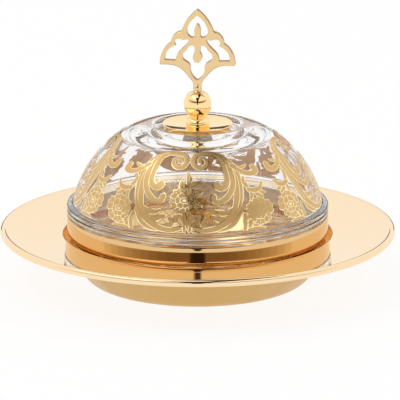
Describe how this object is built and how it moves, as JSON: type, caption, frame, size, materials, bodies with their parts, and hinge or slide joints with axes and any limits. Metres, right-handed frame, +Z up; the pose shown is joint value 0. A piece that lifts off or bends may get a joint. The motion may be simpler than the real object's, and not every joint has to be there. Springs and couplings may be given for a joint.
{
  "type": "covered sweets dish",
  "caption": "Gilt plate with a deep well, a clear glass bowl standing in it, and a clear glass dome lid lifted by a knob with an openwork finial; serves and keeps Turkish delight.",
  "frame": {"origin": "middle of the plate's flat foot, on the table", "axes": "+Z up along the dish's axis; the flat finial lies in the XZ plane and faces -Y"},
  "size_m": [0.2, 0.2, 0.1397],
  "materials": {
    "satin_gold": "gold plated brass, mirror bright on top and satin underneath",
    "gold": "gold plated brass, polished",
    "cast_gold": "gold plated cast brass, softly polished",
    "glass": "clear, polished",
    "clear_pad": "clear soft plastic",
    "steel": "threaded rod"
  },
  "bodies": {
    "plate": {"plate": "satin_gold"},
    "bowl": {"glass_bowl": "glass"},
    "lid": {"glass_dome": "glass", "knob_gasket": "clear_pad", "knob_saucer": "gold", "knob_bead": "gold", "knob_ball": "gold", "finial": "cast_gold", "stud": "steel", "glass_bush": "clear_pad", "washer": "gold", "cap_nut": "gold"}
  },
  "joints": [
    {"name": "bowl_lift", "type": "slide", "parent": "plate", "child": "bowl", "axis": [0, 0, 1], "range_m": [0, 0.05]},
    {"name": "lid_lift", "type": "slide", "parent": "bowl", "child": "lid", "axis": [0, 0, 1], "range_m": [0, 0.06]}
  ]
}
